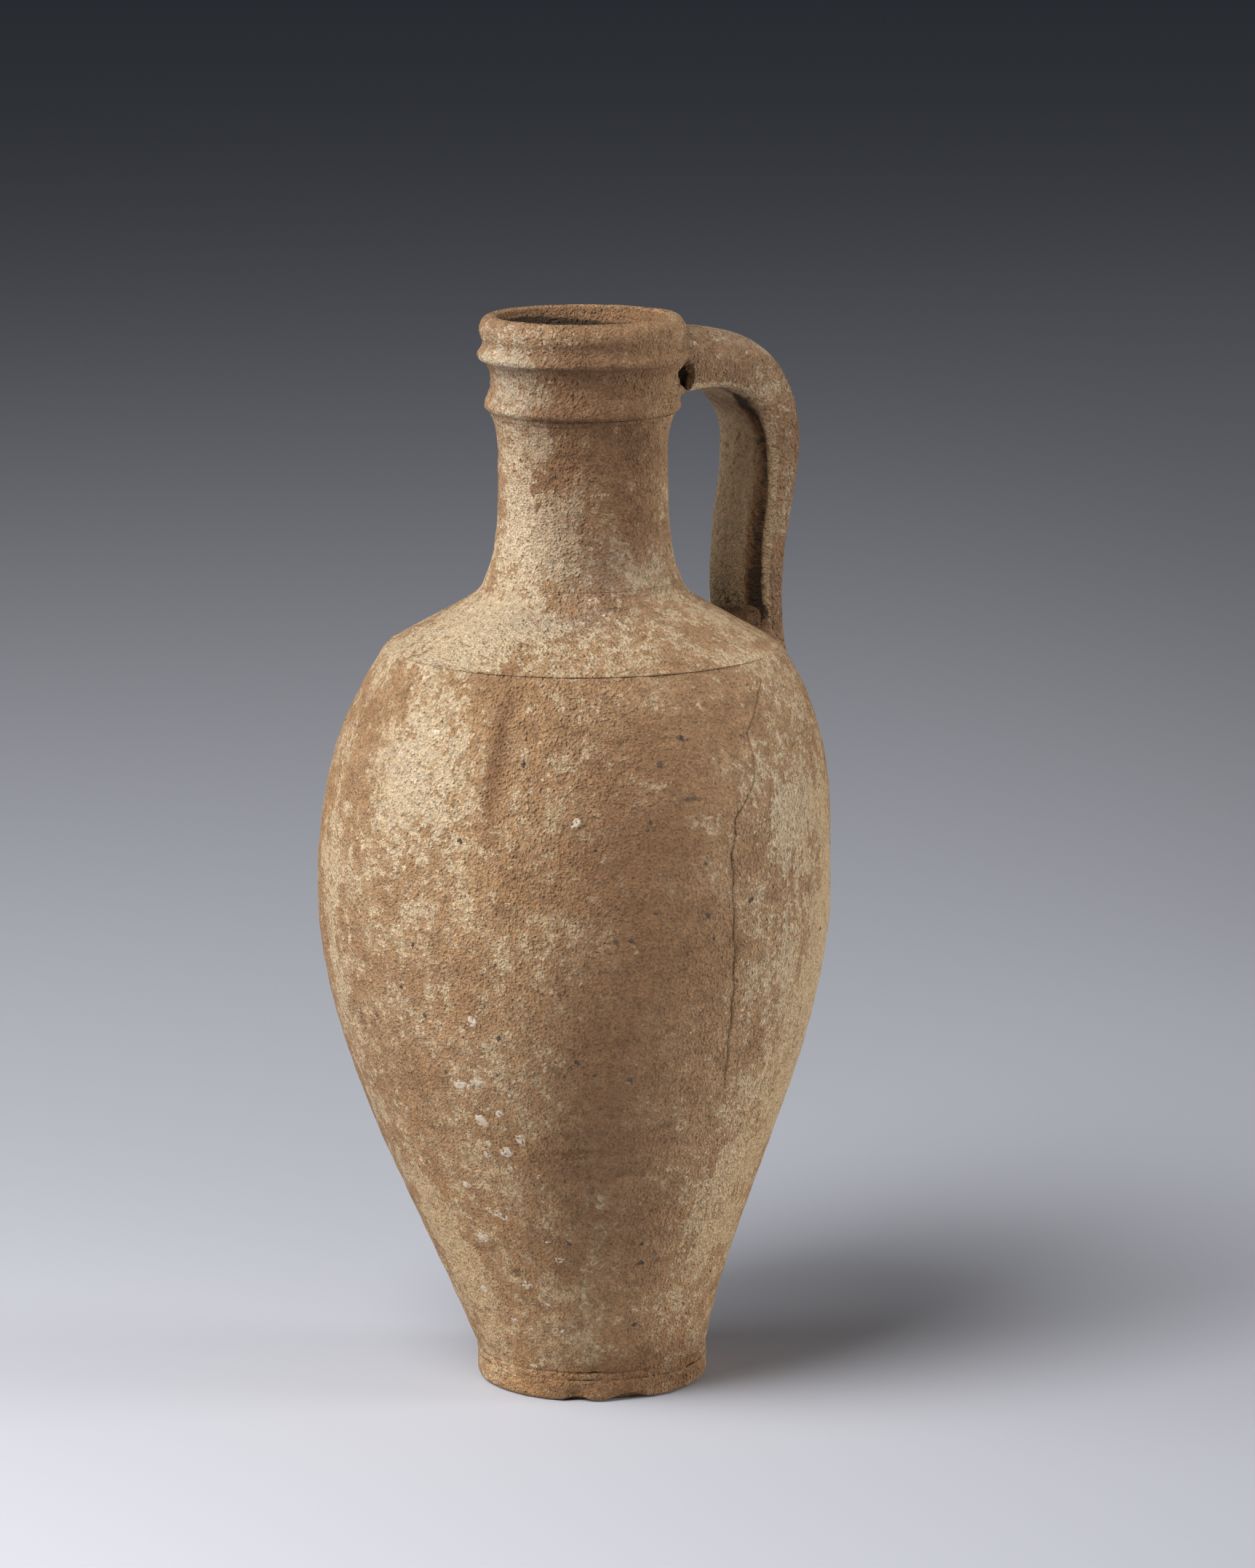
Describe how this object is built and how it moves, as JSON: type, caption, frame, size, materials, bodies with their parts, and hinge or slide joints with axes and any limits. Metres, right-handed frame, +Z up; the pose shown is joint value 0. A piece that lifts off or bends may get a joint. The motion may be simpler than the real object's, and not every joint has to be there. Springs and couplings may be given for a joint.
{
  "type": "lekythos",
  "caption": "Tall one-handled jug of coarse fired clay with a wide high belly, small flat foot, narrow neck, ridged collar mouth and a strap handle",
  "frame": {"origin": "middle of the flat underside of the foot, on the plane that the jug rests on", "axes": "+Z up along the height of the jug, +X from the foot towards the side that carries the handle, +Y to the left of someone who looks along +X"},
  "size_m": [0.1423, 0.1422, 0.2995],
  "materials": {
    "fired_clay": "coarse tan-brown earthenware with a worn patchy cream slip, matt",
    "handle_clay": "coarse tan-brown earthenware, finger-smoothed, matt",
    "luting_slip": "rough wiped clay in the joints, darker and matt"
  },
  "bodies": {
    "root": {"foot": "fired_clay", "foot_coil": "luting_slip", "body_wall": "fired_clay", "shoulder_lute": "luting_slip", "shoulder": "fired_clay", "neck_lute": "luting_slip", "neck": "fired_clay", "collar_lute": "luting_slip", "mouth_collar": "fired_clay", "handle": "handle_clay", "upper_root_lute": "luting_slip", "lower_root_lute": "luting_slip"}
  },
  "joints": []
}
